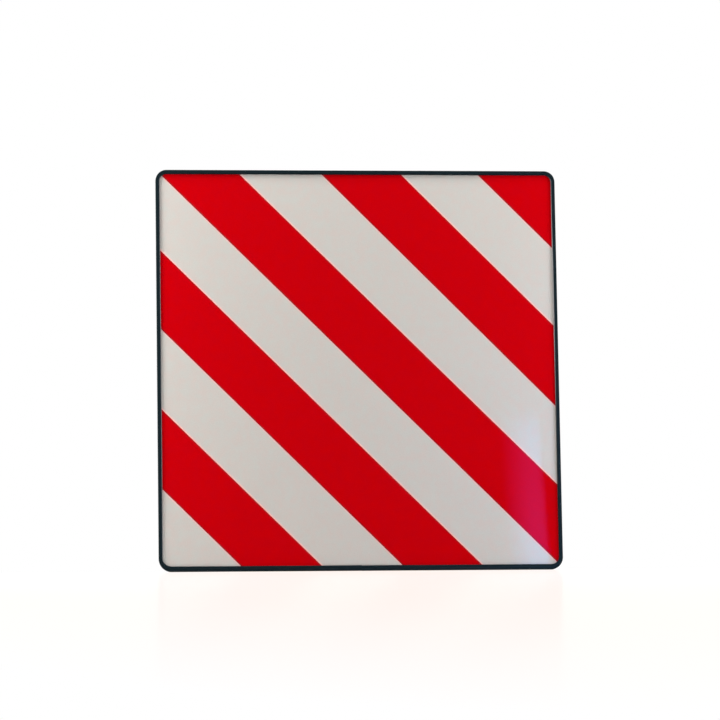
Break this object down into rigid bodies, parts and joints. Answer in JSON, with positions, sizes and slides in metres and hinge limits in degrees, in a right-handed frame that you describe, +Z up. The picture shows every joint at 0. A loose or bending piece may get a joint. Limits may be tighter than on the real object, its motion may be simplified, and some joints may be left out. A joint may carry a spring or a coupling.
{
  "type": "oversize load sign",
  "caption": "Square rear marker board for an overhanging load: aluminium sheet with rounded corners, diagonal red and white reflective stripes and a black edge trim.",
  "frame": {"origin": "centre of the sign", "axes": "+Z up, +Y out of the bare back, the striped face towards -Y, +X to the right as the face is looked at"},
  "size_m": [0.505, 0.0064, 0.505],
  "materials": {
    "sheet_metal": "bare mill finish, rolled grain",
    "white_film": "reflective sheeting, satin clear face",
    "red_film": "reflective sheeting, satin clear face",
    "trim": "flexible extrusion, semi-gloss"
  },
  "bodies": {
    "root": {"panel_sheet": "sheet_metal", "white_film": "white_film", "red_band_1": "red_film", "red_band_2": "red_film", "red_band_3": "red_film", "red_band_4": "red_film", "red_band_5": "red_film", "edge_trim": "trim"}
  },
  "joints": []
}
